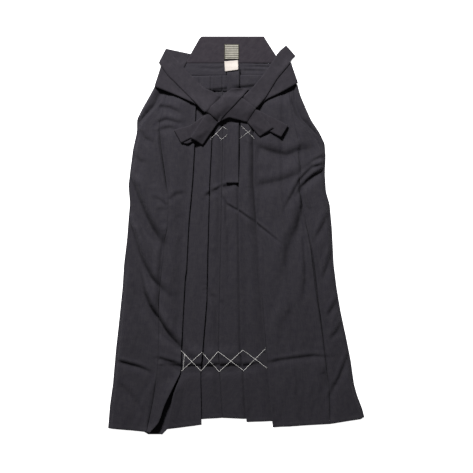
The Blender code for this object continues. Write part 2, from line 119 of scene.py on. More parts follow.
PLEAT_5 = ((430, 48), (153, 48), (58, 55), (-118, 64), (-301, 78), (-365, 86), (-518, 99))
UNDERLAP_1 = (
    (430, -152), (96, -164), (-172, -180), (-330, -186), (-380, -196), (-450, -232), (-538, -262),
)
OPEN_PLEAT = ((-370, -147), (-430, -170), (-515, -188), (-538.5, -201))
OPEN_RISE = 11.0        # how far the first pleat stands open at the hem
OPEN_RUN = 50.0         # way down the fold over which it opens
OPEN_SLOPE = 0.16       # where its floor ends, as a share of the way to the next pleat

# Hems, from left to right: (x, y)
HEM_BACK = (
    (-347, -519), (-262, -526), (-130, -514), (-98, -500), (-60, -490), (20, -490), (60, -499),
    (110, -513), (240, -507), (335, -489), (347, -486),
)
HEM_SIDE_LEFT = ((-347, -522), (-299, -527), (-242, -531))
HEM_OUTER_LEFT = ((-242, -531), (-234, -533))
HEM_STRIP_2 = ((-262, -538.5), (-201, -538.5), (-188, -524), (-120, -517), (-94, -512))
HEM_CENTRE = ((-94, -497), (-38, -494), (28, -497))
HEM_STRIP_4 = ((28, -505), (99, -503))
HEM_OUTER_RIGHT = ((99, -519), (173, -517), (254, -510))
HEM_SIDE_RIGHT = ((254, -510), (303, -506), (335, -498), (347, -492))

GUSSET_LEFT = ((60, -42, -31), (-488, -95, -31))
GUSSET_RIGHT = ((60, 12, 22), (-486, 12, 85))

# Creases: depth (a ridge is negative), half width, and the places they run through: x, y, x, y...
CREASES = (
    # left, outside the seam
    (20.0, 14.5, (-296, 158, -281, 126, -270, 96, -252, 53, -234, 17, -216, -8, -186, -54)),
    (13.5, 11, (-292, 36, -278, -8, -264, -51, -250, -83, -236, -112, -214, -137, -170, -176)),
    (15.0, 11, (-290, -36, -276, -76, -261, -123, -254, -156, -239, -191, -218, -224,
                 -196, -257, -160, -297, -96, -360)),
    (-3.0, 10, (-290, 60, -274, 20, -262, -10)),
    (-2.0, 10, (-294, -110, -284, -160, -270, -200, -250, -240)),
    (-2.5, 14, (-226, 140, -214, 90, -200, 50)),
    (2.5, 5, (-212, -258, -198, -267, -150, -306)),
    (3.0, 6, (-294, 84, -280, 92, -268, 84)),
    (1.8, 6, (-184, 78, -194, 84, -206, 95, -218, 100, -234, 92)),
    (1.2, 7, (-182, 68, -200, 70, -222, 64)),
    (3.0, 8, (-262, 284, -248, 262, -215, 245)),
    (2.5, 8, (-286, 225, -262, 200, -232, 190)),
    # left, inside the seam
    (3.0, 7, (-212, 348, -180, 344, -152, 330, -140, 322)),
    (3.4, 7, (-214, 302, -190, 312, -160, 304, -130, 300)),
    (3.6, 8, (-206, 286, -178, 290, -150, 280)),
    (2.0, 7, (-182, 92, -168, 106, -160, 111, -124, 114)),
    (6.4, 5, (-208, 280, -204, 240, -198, 204, -189, 137, -182, 60)),
    (5.5, 8, (-190, 8, -195, -16, -201, -53, -205, -115, -209, -175, -210, -270)),
    (2.2, 12, (-160, 60, -150, 0, -156, -80)),
    (2.0, 14, (-176, -150, -160, -215, -168, -290)),
    # above and across the lower basting
    (6.5, 9, (-190, -352, -160, -356, -144, -358, -71, -358, 20, -356, 96, -346)),
    (-4.5, 17, (-168, -318, -71, -322, 60, -320)),
    (2.0, 6, (20, -355, 81, -344)),
    (4.0, 6, (-325, -340, -263, -357, -215, -378)),
    (3.4, 6, (-212, -332, -185, -340, -146, -350)),
    (2.0, 10, (-320, -400, -280, -440, -250, -500)),
    (3.4, 5.5, (-240, -528, -232, -480, -222, -430, -214, -380)),
    # middle
    (3.4, 3.4, (-52, 122, -42, 111, -28, 86, 10, 64, 57, 30, 86, 7, 150, -45)),
    (5.0, 3, (-28, 88, -28.5, 72, -28, 50, -26, 20)),
    (3.4, 7, (-80, -138, -70, -162, -52, -182, -26, -186)),
    (3.0, 2.4, (-30.5, 148, -31, 230, -30, 300)),
    (5.0, 6, (-82, 104, -72, 112, -56, 121, -34, 130, 10, 142)),
    (4.0, 8, (-72, -30, -68, -70, -66, -120, -60, -170, -40, -240)),
    (1.6, 8, (-20, 40, -18, -60, -14, -140)),
    (2.0, 5, (-60, -366, -56, -420, -52, -470)),
    # right
    (5.4, 13, (52, 242, 80, 229, 112, 219, 138, 215, 165, 227, 215, 237, 236, 246)),
    (3.4, 12, (52, 134, 80, 138, 120, 146, 160, 162, 196, 184, 226, 198)),
    (7.8, 7.5, (246, 180, 232, 173, 212, 161, 192, 145, 174, 124, 152, 84)),
    (4.6, 6, (240, 192, 206, 184, 186, 164, 172, 147, 161, 127, 151, 107, 138, 84, 122, 44)),
    (2.0, 5, (240, 214, 216, 206, 194, 188, 178, 170)),
    (4.0, 15, (188, 100, 180, 60, 168, 22, 153, -8, 141, -44, 134, -84, 129, -127, 122, -190)),
    (4.0, 8, (184, 10, 184, -14, 187, -67, 189, -117, 183, -160, 176, -200)),
    (3.4, 8, (252, 62, 240, 34, 218, -4, 205, -30)),
    (4.0, 8, (262, -40, 250, -76, 230, -140)),
    (3.4, 7, (283, -160, 262, -196, 240, -230)),
    (3.2, 7, (292, -228, 272, -262, 250, -290)),
    (3.0, 4.5, (172, 250, 173, 200, 175, 160)),
    (4.0, 14, (177, 82, 176, 52, 172, 20, 168, -16)),
    (7.5, 5.5, (171, 162, 174, 135, 178, 99, 183, 65, 196, 19, 206, -34, 216, -100, 223, -167,
              235, -250, 246, -340, 256, -500)),
    (2.6, 3.5, (56, 60, 58, 10, 61, -60, 67, -140, 76, -240, 84, -330, 96, -470)),
    (1.2, 3, (-24, 20, -22, -60, -20, -180)),
    (2.0, 14, (150, -200, 120, -250, 128, -310)),
    (2.6, 6, (80, -347, 120, -338, 166, -332, 208, -327, 249, -330, 290, -322)),
    (3.6, 6, (236, -366, 249, -408, 256, -440)),
    (3.6, 6, (306, -318, 279, -386, 252, -440)),
    (2.0, 5, (254, -425, 255, -470, 254, -512)),
    (1.7, 6.5, (262, -396, 259, -424, 250, -438, 232, -442)),
    (-2.5, 6, (240, 206, 205, 184, 178, 163, 158, 142, 140, 108)),
)
# The same on the back panel where it shows inside the waist and at the hips
BACK_CREASES = (
    (2.2, 2.8, (100, 466, 70, 468, 18, 466)),
    (2.6, 2.8, (108, 455, 60, 458, 16, 456)),
    (2.2, 2.8, (16, 447, 50, 447, 100, 446)),
    (1.6, 3, (-34, 454, -60, 452, -118, 455)),
    (1.2, 4, (-250, 320, -222, 352, -208, 380)),
    (1.0, 4, (196, 300, 176, 340, 166, 380)),
)
STEEP = 0.66            # share of a crease's half width on the side where cloth hangs over it
GENTLE = 1.7            # and on the other side
LIP = 0.42              # how far the cloth rises beside a crease, as a share of its depth
LIP_AWAY, LIP_WIDTH = 1.7, 0.9  # its place and width, as shares of the half width
HANG = (1.0, 0.27)      # the way in which loose cloth hangs over its creases
CREASE_START = 0.3      # share of its depth with which a crease begins
CREASE_AT_WAIST = 0.35  # share of its depth where the waistband holds the cloth
PUFF = 8.4              # how far loose cloth stands up: beside the pleats
STRIP_PUFF = 3.2        # and between them
PUFF_TOP_Y = 395.0      # the waistband holds it down from here
PUFF_FADE = 45.0
SLOW_SHARE = 0.18       # unevenness: slow waves as a share of the puff, and quick ones in mm
QUICK_RISE = 0.3
EDGE_FADE = 14.0        # way over which the front rises from its edge
EDGE_ROUND = 9.0        # and over which that edge is rounded
FOLD_LIFT = 2.6         # how much a pleat's fold stands up beside its strip
FOLD_RUN, STRIP_FOLD_RUN = 14.0, 16.0   # over which ways, beside the pleats and between them
SUNK_FOLD = -3.4        # the third fold lies lower than its strip
CENTRE_LIFT = 1.2       # and the centre a little higher
SIDE_FOLD_TOP = 60.0    # above this the last strip drops steeply beside its neighbour's fold
SIDE_FALL = (6.0, 28.0)  # how much it stands up there, and how far from the fold it falls
HIP_RISE = (5.0, 5.6)   # of the back at the hip: close to the slit, and more at its edge
HIP_RUN = (6.5, 28.0)   # over which ways
HIP_FOOT = {-1: 292, 1: 232}    # where that starts, left and right
WAIST_RISE = (3.3, 1.0)  # of the back inside the waist: at the board, and more at the waistband
OPENING_X = (-100, 78)  # the opening of the waist, from left to right
BAND_ROLL = 5.0         # how far the waistband stands up in it
BAND_DENTS = ((-67.8, 3.4), (-37.0, 2.6))   # where the pleats' folds dent it, and how deep
TIE_LIFT = (4.0, 4.5)   # how far a front tie's lower edge stands up: at its root, and more inwards
UNDER_RUN = 70.0        # way over which a back tie rises before it goes under the crossing
TIP_RUN = (108.0, 36.0)  # how far beyond it the tip rises again, and over which way
WRAP_START = (0.75, 8.0)  # how thin a wrap starts, as a share, and over which way it thickens
WRAP_THIN = 0.2         # its wall there
SETTLE = 0.25           # how much the crossing's lower edge sinks, as a share
SETTLE_ON = 6.0         # height of what it sinks on
SETTLE_WAY = 34.0       # how far from that edge it sinks
CROSSING_X = (-66, 60)  # the crossing from left to right, and its lower edge: (x, y)
CROSSING_FOOT = ((-47, 305), (-20, 318), (4, 312), (29, 305))
HEM_FOLD = 11.0         # depth of the turned hem
HEM_STEP = 0.5          # how much the turned hem thickens the cloth

# Ties, as rows across them: x, y at one edge and x, y at the other
FRONT_TIE_LEFT = dict(
    root=((-195.3, 398, -195.3, 446), (-220, 402, -201, 464)),
    top=((-220, 402, -201, 464), (-164, 380, -149, 418), (-111, 356, -95, 394),
         (-83, 331, -62, 366), (-27, 322, -12, 361), (29, 310, 46, 345), (120, 266, 139, 298)),
    tail=((120, 266, 139, 298), (50, 299, 68, 332)),
)
FRONT_TIE_RIGHT = dict(
    root=((140.3, 404, 140.3, 452), (166, 412, 147, 468)),
    top=((166, 412, 147, 468), (120, 386, 102, 423), (80, 367, 62, 404), (56, 342, 34, 374),
         (0, 326, -18, 362), (-60, 301, -82, 328), (-104, 272, -124, 297), (-147, 250, -167, 286)),
    tail=((-147, 250, -167, 286), (-132, 246, -153, 281), (-110, 257, -130, 290),
          (-75, 281, -98, 309)),
)
BACK_TIE_LEFT = dict(
    root=((-142, 452, -123.5, 492), (-209, 466, -189, 506)),
    top=((-209, 466, -189, 506), (-185, 432, -154, 468), (-164, 412, -120, 431),
         (-107.5, 355.5, -85, 397), (-96, 342, -63, 389), (-84, 330, -42, 376), (-18, 319, 5, 366),
         (29, 306, 52, 342), (64, 266, 101, 290)),
    tail=(),
)
BACK_TIE_RIGHT = dict(
    root=((129, 453, 109, 490), (160, 485, 134, 514)),
    top=((160, 485, 134, 514), (150, 475, 117, 500), (145, 463, 106, 483), (112, 425, 74, 436),
         (80, 373, 47, 403), (55, 343, 17, 373), (-18, 317, -40, 352), (-47, 306, -78, 334),
         (-91, 244, -125, 264)),
    tail=(),
)
WRAP_LEFT = ((29, 305, 54, 343), (4, 312, 16, 372), (-20, 318, -8, 372), (-45, 306, -30, 372))
WRAP_RIGHT = ((-47, 305, -82, 336), (-15, 340, -44, 369), (4, 360, -32, 384), (35, 396, -12, 397))
WRAP_PRESSED_Y = 341.0  # the right wrap's lower edge lies flat up to here
WAISTBAND = ((-195, 398, 446), (-120, 390, 431), (75, 391, 434), (140, 404, 452))
CENTRE_STRIP = ((-25, 456, 9, 456), (-25, 400, 9, 400), (-27, 142, 6, 142))
STRIP_CURL = 3.2        # how far its end stands up
STRIP_LIFT = (9.0, 7.0)  # of its right side, above and below the crossing
STRIP_FREE_Y = (396, 310)       # from these heights on
STRIP_HELD_Y = 150      # down here it lies flat again
STRIP_TURN = 1.6        # width of the side that turns down
# The board as rows: y, x at the left and at the right
BOARD_ROWS = ((538.5, -93, 75), (533, -99, 77.5), (490, -123.5, 105), (466, -138, 121))
PATCH = (-32.5, 8.0, 476.0, 517.8)      # its left, right, lower and upper edges
PATCH_RIM = (2.1, 2.7)  # how far in its dark edge is full, and where it ends
PATCH_RIB = 5.0         # from one rib to the next
SIZE_LABEL = ((-32, 470.6, 5, 473.6), (-30, 443, 5.5, 447))

# Basting threads: x, y of the places where each is sewn down
BASTING = dict(
    basting_lower=(
        ((-149, -312), (-95, -367), (-49, -314), (20, -366), (79, -307)),
        ((-149, -368), (-93, -316), (-46, -369), (18, -310), (85, -360)),
        ((-140, -322), (-144, -363)),
    ),
    basting_upper=(
        ((-71, 259), (-36, 294), (-25, 287)),
        ((-54, 276), (-40, 259), (-25, 272)),
        ((12, 297), (51, 261)),
        ((8, 261), (32, 279), (40, 285)),
    ),
)
THREAD = dict(basting_lower=0.9, basting_upper=0.44)   # doubled, and single
THREAD_DIP = 1.6        # how deep it goes where it's sewn down, as a share of its radius


# ---- lines and fields

def smooth(share):
    """Eases a share that runs from 0 to 1."""
    share = np.clip(share, 0.0, 1.0)
    return share * share * (3.0 - 2.0 * share)


def straight(table, place, column=1):
    """A table read straight between its rows, and on past its ends."""
    table = sorted(table)
    at = np.array([row[0] for row in table], float)
    value = np.array([row[column] for row in table], float)
    low = value[0] + (place - at[0]) * (value[1] - value[0]) / (at[1] - at[0])
    high = value[-1] + (place - at[-1]) * (value[-1] - value[-2]) / (at[-1] - at[-2])
    inside = np.interp(place, at, value)
    return np.where(place < at[0], low, np.where(place > at[-1], high, inside))


def flowing(table, softness=26):
    """A line down the garment with its corners eased."""
    ys = np.arange(-640.0, 600.0)
    window = np.hanning(softness + 2)
    xs = np.convolve(np.pad(straight(table, ys), softness, mode="edge"), window / window.sum(),
                     mode="same")[softness:-softness]
    return lambda y: np.interp(y, ys, xs)


EDGE = {-1: flowing(BACK_EDGE_LEFT), 1: flowing(BACK_EDGE_RIGHT)}
SLIT = {-1: flowing(SLIT_LEFT), 1: flowing(SLIT_RIGHT)}
SEAM = {-1: flowing(SEAM_LEFT), 1: flowing(SEAM_RIGHT)}
FOLD_1, FOLD_2, FOLD_3 = flowing(PLEAT_1), flowing(PLEAT_2), flowing(PLEAT_3)
FOLD_4, FOLD_5 = flowing(PLEAT_4), flowing(PLEAT_5)
OUTER_FOLD = {-1: FOLD_1, 1: FOLD_5}
UNDER_1 = flowing(UNDERLAP_1)


def front_edge(side, y):
    """Outer edge of the front: the slit at the hip, then the side seam."""
    inward = np.maximum if side < 0 else np.minimum
    return inward(EDGE[side](y), np.where(y > SLIT_FOOT[side], SLIT[side](y), EDGE[side](y)))


def crease_field(x, y, creases):
    """How far the creases press the cloth down (or push it up) at each place."""
    press = np.zeros_like(x)
    for depth, half_width, route in creases:
        points = np.array(route, float).reshape(-1, 2)
        runs = np.linalg.norm(np.diff(points, axis=0), axis=1)
        nearest = np.full(x.shape, 1e9)
        along = np.zeros_like(x)
        inside = np.zeros_like(x)
        travelled = 0.0
        # loose cloth hangs over from the waist side of a crease
        over = math.copysign(1.0, (points[-1] - points[0]) @ HANG)
        for start, end, run in zip(points, points[1:], runs):
            dx, dy = (end - start) / run
            t = np.clip((x - start[0]) * dx + (y - start[1]) * dy, 0.0, run)
            away = np.hypot(x - start[0] - t * dx, y - start[1] - t * dy)
            closer = away < nearest
            nearest = np.where(closer, away, nearest)
            inside = np.where(closer, over * (dx * (y - start[1]) - dy * (x - start[0])), inside)
            along = np.where(closer, (travelled + t) / runs.sum(), along)
            travelled += run
        # it deepens soon after its start, and fades over its last half
        taper = CREASE_START + (1.0 - CREASE_START) * smooth(along / 0.12)
        taper = taper * smooth((1.0 - along) / 0.5)
        if depth > 0:
            reach = half_width * np.where(inside > 0, STEEP, GENTLE)
            lip = np.exp(-((nearest - LIP_AWAY * half_width)
                           / (LIP_WIDTH * half_width)) ** 2) * (inside > 0)
        else:
            reach, lip = half_width, 0.0
        press += depth * taper * (np.exp(-(nearest / reach) ** 2) - LIP * lip)
    return press


def unevenness(seed, waves, shortest, longest, stretch):
    """Gentle waves in the cloth, longer down it than across."""
    rng = np.random.default_rng(seed)
    length = rng.uniform(shortest, longest, waves)
    turn = rng.normal(0.0, 0.5, waves)
    phase = rng.uniform(0, 2 * math.pi, waves)

    def field(x, y):
        total = np.zeros_like(x)
        for size, angle, start in zip(length, turn, phase):
            across = x * math.cos(angle) + y * math.sin(angle) / stretch
            down = y * math.cos(angle) / stretch - x * math.sin(angle)
            total += np.sin(across * 2 * math.pi / size + start + 1.3 * np.sin(down * 4 / size))
        return total / math.sqrt(waves)

    return field


SLOW_WAVES = unevenness(3, 9, 60, 150, 2.6)
QUICK_WAVES = unevenness(8, 14, 16, 40, 2.2)


def front_loft(x, y, puff):
    """How far loose front cloth stands above its lowest level."""
    free = smooth((PUFF_TOP_Y - y) / PUFF_FADE)
    rise = (puff * free * (1.0 + SLOW_SHARE * SLOW_WAVES(x, y))
            + QUICK_RISE * free * QUICK_WAVES(x, y))
    rise = rise - crease_field(x, y, CREASES) * (
        CREASE_AT_WAIST + (1.0 - CREASE_AT_WAIST) * free)
    # never below its lowest level, and without a kink where it comes down to it
    return 0.5 * (rise + np.sqrt(rise * rise + 0.3))


def turned_hem(y, hem_y):
    """The step up at the top of the turned hem."""
    return HEM_STEP * smooth((hem_y + HEM_FOLD - y) / 1.5)


def outer_underlap(side, y):
    """How far the outermost pleat runs under the front."""
    return UNDER_1(y) if side < 0 else FOLD_5(y) + RIGHT_UNDERLAP


def opened(y):
    """How far the first pleat has opened on its way to the hem."""
    return smooth((OPEN_PLEAT[0][0] - y) / OPEN_RUN)


def outer_front(side):
    """Height of a front between its outer edge and the fold of the outermost pleat."""
    def height(x, y):
        to_edge = np.abs(x - front_edge(side, y))
        to_fold = np.abs(x - OUTER_FOLD[side](y))
        past = side * (outer_underlap(side, y) - x) + CLEAR + RAMP
        on_underlap = smooth(past / RAMP + 1.0)
        loose = smooth(to_edge / EDGE_FADE) * (0.45 + 0.55 * smooth(to_fold / PUFF_FADE))
        rounded = np.sqrt(np.clip(to_edge / EDGE_ROUND, 0, 1))
        lift = front_loft(x, y, PUFF * loose) * rounded
        lift = lift + FOLD_LIFT * smooth(1.0 - to_fold / FOLD_RUN)
        if side < 0:
            lift = lift + OPEN_RISE * opened(y) * smooth(1.0 - to_fold / PUFF_FADE)
        return GROUND + LAYER * (1.0 + smooth(to_edge / PUFF_FADE) + 2.0 * on_underlap) + lift

    return height


def strip_front(level, fold_at=None, lift=FOLD_LIFT):
    """Height of a strip between two pleats, with its own fold higher or lower than the rest."""
    def height(x, y):
        at_fold = 0.0
        if fold_at is not None:
            at_fold = lift * smooth(1.0 - np.abs(x - fold_at(y)) / STRIP_FOLD_RUN)
        return level + np.maximum(front_loft(x, y, STRIP_PUFF) + at_fold, 0.0)

    return height


def flat_at(level):
    """The same height everywhere."""
    return lambda x, y: np.full(x.shape, float(level))


# ---- cloth meshes

LAID = []               # upper sides of what is down so far, to lay the next piece on
ABOVE, DOWN = 200.0, Vector((0, 0, -1))     # where they are looked for from, and which way


def mesh_piece(name, points, faces, uv=None):
    """An object from points in mm and its faces, with the cloth's own UV in metres."""
    mesh = bpy.data.meshes.new(name)
    mesh.from_pydata((points * MM).tolist(), [], faces)
    if uv is not None:
        layer = mesh.uv_layers.new(name="cloth")
        index = np.zeros(len(mesh.loops), np.int32)
        mesh.loops.foreach_get("vertex_index", index)
        layer.data.foreach_set("uv", (uv[index] * MM).astype(np.float32).ravel())
    piece = bpy.data.objects.new(name, mesh)
    bpy.context.scene.collection.objects.link(piece)
    mesh.shade_smooth()
    return piece


def normals_of(grid):
    """The way in which a grid's upper side faces at each place."""
    down = np.gradient(grid, axis=0)
    across = np.gradient(grid, axis=1)
    normal = np.cross(across, down)
    length = np.linalg.norm(normal, axis=2, keepdims=True)
    normal = normal / np.maximum(length, 1e-9)
    return normal if normal[..., 2].mean() > 0 else -normal


def quads(rows, columns):
    """The faces of a grid."""
    row, column = np.meshgrid(np.arange(rows - 1), np.arange(columns - 1), indexing="ij")
    first = (row * columns + column).ravel()
    return np.stack([first, first + columns, first + columns + 1, first + 1], axis=1)


def cloth_piece(name, grid, wall):
    """A closed wall of cloth from a grid of places on its middle, with the cloth's own UV."""
    rows, columns = grid.shape[:2]
    half = np.broadcast_to(np.asarray(wall, float) / 2.0, (rows, columns))[..., None]
    normal = normals_of(grid)
    points = np.concatenate([(grid + normal * half).reshape(-1, 3),
                             (grid - normal * half).reshape(-1, 3)])
    top = quads(rows, columns)
    count = rows * columns
    rim = np.concatenate([np.arange(columns), np.arange(1, rows) * columns + columns - 1,
                          (rows - 1) * columns + np.arange(columns - 2, -1, -1),
                          np.arange(rows - 2, 0, -1) * columns])
    after = np.roll(rim, -1)
    side = np.stack([rim, after, after + count, rim + count], axis=1)
    faces = np.concatenate([top, top[:, ::-1] + count, side])
    if np.cross(grid[1, 0] - grid[0, 0], grid[0, 1] - grid[0, 0]) @ normal[0, 0] < 0:
        faces = faces[:, ::-1]
    runs = [np.cumsum(np.linalg.norm(np.diff(grid, axis=axis, prepend=first), axis=2), axis=axis)
            for axis, first in ((1, grid[:, :1]), (0, grid[:1]))]
    uv = np.stack(runs, axis=2).reshape(-1, 2)
    return mesh_piece(name, points, faces.tolist(), np.concatenate([uv, uv]))


def carrier(upper):
    """A piece's upper side, as something to lay the next pieces on."""
    return BVHTree.FromPolygons(upper.reshape(-1, 3).tolist(), quads(*upper.shape[:2]).tolist())


def panel(name, columns, top_y=WAIST_Y, row=ROW):
    """A panel from its columns: (x at y, hem, height at x and y, steps to the next column)."""
    placed = []
    share = np.linspace(0.0, 1.0, int(round((top_y - HEM_Y) / row)) + 1)
    for x_at, hem, height, steps in columns:
        hem_y = hem[0][1]
        for _ in range(4):
            hem_y = float(straight(hem, x_at(np.array(hem_y))))
        y = top_y + (hem_y - top_y) * share
        placed.append((x_at(y), y, height, hem_y, steps))
    lines = []
    for start, end in zip(placed, placed[1:] + placed[-1:]):
        steps = max(start[-1], 1)
        for f in np.arange(steps) / steps:
            x, y = start[0] + (end[0] - start[0]) * f, start[1] + (end[1] - start[1]) * f
            z = start[2](x, y) * (1 - f) + end[2](x, y) * f
            z = z + turned_hem(y, start[3] + (end[3] - start[3]) * f)
            lines.append(np.stack([x, y, z], axis=1))
    grid = np.stack(lines, axis=1)
    LAID.append(carrier(grid + normals_of(grid) * (CLOTH / 2)))
    return cloth_piece(name, grid, CLOTH)


def upright(x):
    """A line straight down the garment."""
    return lambda y: np.full(np.shape(y), float(x))


def shift(x_at, distance):
    """A line beside another one."""
    return lambda y: x_at(y) + distance


def mix(start_at, end_at, share):
    """A line between two others."""
    return lambda y: start_at(y) + (end_at(y) - start_at(y)) * share


def steps_over(start_at, end_at):
    """Steps across a strip at its widest."""
    y = np.linspace(HEM_Y, WAIST_Y - 7, 20)
    return max(2, int(round(np.abs(end_at(y) - start_at(y)).max() / STITCH)))


def pleat_fold(side, fold_at, under_at, hem, top_height):
    """Columns round a pleat's fold, back to where it turns, and round that turn."""
    def lifted(share):
        return lambda x, y: BASE + 1.5 * LAYER + TURN * share + (top_height(x, y) - TOP)

    columns = []
    for angle in (0, 45, 90, 135):
        turn = math.radians(angle)
        place = shift(fold_at, side * TURN * (math.sin(turn) - 1.0))
        columns.append((place, hem, lifted(math.cos(turn)), 1))
    columns.append((shift(fold_at, -side * TURN), hem, lifted(-1.0), 4))
    columns.append((mix(fold_at, under_at, 0.35), hem, flat_at(BASE + LAYER), 2))
    for angle in (0, 45, 90, 135, 180):
        turn = math.radians(angle)
        place = shift(under_at, -side * TURN * (math.sin(turn) - 1.0))
        level = BASE + 0.5 * LAYER + TURN * math.cos(turn)
        columns.append((place, hem, flat_at(level), 1 if angle < 180 else 3))
    return columns


def back_panels():
    """The two backs; the right one laps over the left one in the centre back pleat."""
    left_at, right_at = EDGE[-1], EDGE[1]
    riser = CENTRE_BACK_X + CLOTH / 2 + GAP + 0.5

    def height(x, y):
        to_edge = np.minimum(x - left_at(y), right_at(y) - x)
        waist = smooth((y - 430.0) / 2.5) * smooth(to_edge / 8.0)
        hip = 0.0
        for side, out in ((-1, SLIT[-1](y) - 0.5 - x), (1, x - SLIT[1](y) - 0.5)):
            near, far = (rise * smooth(out / run) for rise, run in zip(HIP_RISE, HIP_RUN))
            hip = hip + (near + far) * smooth((y - HIP_FOOT[side]) / 20)
        hip = hip * smooth((425.0 - y) / 20.0) * np.sqrt(np.clip(to_edge / 5.0, 0, 1))
        rise = waist * (WAIST_RISE[0] + WAIST_RISE[1] * smooth((462.0 - y) / 16.0)
                        + QUICK_RISE * QUICK_WAVES(x, y))
        rise = rise + hip * (1.0 + 0.06 * QUICK_WAVES(x, y))
        rise = rise - (waist + np.minimum(hip, 1.0)) * crease_field(x, y, BACK_CREASES)
        return GROUND + np.maximum(rise, 0.0)

    def stepped(share):
        return lambda x, y: height(x, y) + LAYER - share * LAYER

    left = [(left_at, HEM_BACK, height, BACK_STEPS),
            (upright(CENTRE_BACK_X), HEM_BACK, height, 0)]
    # the right back steps down beside the left one's edge
    right = [(upright(riser + away), HEM_BACK, stepped(share), steps) for away, share, steps in (
        (-BACK_PLEAT, 0.0, 7), (-1.2, 0.0, 1), (-0.5, 0.15, 1), (0.0, 0.5, 1), (0.5, 0.85, 1))]
    right += [(upright(riser + 1.2), HEM_BACK, height, BACK_STEPS),
              (right_at, HEM_BACK, height, 0)]
    return [panel("back_left_cloth", left, BACK_TOP_Y, BACK_ROW),
            panel("back_right_cloth", right, BACK_TOP_Y, BACK_ROW)]


def gusset(name, table):
    """A flat gusset between the back and the front, from its rows: y, x and x."""
    ys = np.linspace(table[0][0], table[-1][0], 60)
    left, right = straight(table, ys, 1), straight(table, ys, 2)
    share = np.linspace(0, 1, 7)
    x = left[:, None] + (right - left)[:, None] * share
    y = np.broadcast_to(ys[:, None], x.shape)
    return cloth_piece(name, np.stack([x, y, np.full(x.shape, GROUND + LAYER)], axis=2), CLOTH)


def left_pleats():
    """The left front: three pleats that open to the right, and the centre."""
    seam_at = shift(SEAM[-1], SEAM_GAP / 2)
    outer = outer_front(-1)
    strip_2, strip_3 = strip_front(TOP, FOLD_2), strip_front(TOP, FOLD_3, SUNK_FOLD)
    centre = strip_front(BASE, FOLD_3, CENTRE_LIFT)
    low = flat_at(BASE)

    def open_at(y):
        hidden = FOLD_1(y) + 2 * CLEAR
        return np.where(y > OPEN_PLEAT[0][0], hidden,
                        np.maximum(hidden, straight(OPEN_PLEAT, y)))

    def open_level(x, y):
        return BASE + OPEN_RISE * opened(y)

    def beyond(x, y):
        return (1.0 - OPEN_SLOPE) * open_level(x, y) + OPEN_SLOPE * strip_2(x, y)

    under_2, under_3 = mix(FOLD_2, open_at, INNER_UNDERLAP), mix(FOLD_3, FOLD_2, INNER_UNDERLAP)
    columns = [(seam_at, HEM_OUTER_LEFT, outer, steps_over(seam_at, FOLD_1)),
               (shift(FOLD_1, -3.0), HEM_OUTER_LEFT, outer, 2)]
    columns += pleat_fold(1, FOLD_1, UNDER_1, HEM_OUTER_LEFT, outer_top(-1))
    columns += [(shift(FOLD_1, CLEAR), HEM_STRIP_2, low, 2),
                (shift(open_at, -CLEAR / 2), HEM_STRIP_2, low, 1),
                (open_at, HEM_STRIP_2, open_level, 1),
                (mix(open_at, under_2, OPEN_SLOPE), HEM_STRIP_2, beyond, 5),
                (shift(under_2, -2 * CLEAR), HEM_STRIP_2, strip_2, 6),
                (shift(FOLD_2, -3.0), HEM_STRIP_2, strip_2, 2)]
    columns += pleat_fold(1, FOLD_2, under_2, HEM_STRIP_2, strip_2)
    columns += [(shift(FOLD_2, CLEAR), HEM_CENTRE, low, 3),
                (shift(under_3, -CLEAR), HEM_CENTRE, strip_3, 6),
                (shift(FOLD_3, -3.0), HEM_CENTRE, strip_3, 2)]
    columns += pleat_fold(1, FOLD_3, under_3, HEM_CENTRE, strip_3)
    columns += [(shift(FOLD_3, CLEAR), HEM_CENTRE, flat_at(BASE + CENTRE_LIFT), 2),
                (shift(FOLD_3, 3.2), HEM_CENTRE, centre, 10),
                (shift(FOLD_4, -8.0), HEM_CENTRE, centre, 3),
                (shift(FOLD_4, -CLEAR), HEM_CENTRE, low, 3),
                (shift(FOLD_4, CENTRE_LAP), HEM_CENTRE, low, 0)]
    return panel("front_left_pleats_cloth", columns)


def outer_top(side):
    """The outer front's height near its fold, counted as a strip's is."""
    outer = outer_front(side)
    return lambda x, y: outer(OUTER_FOLD[side](y), y)


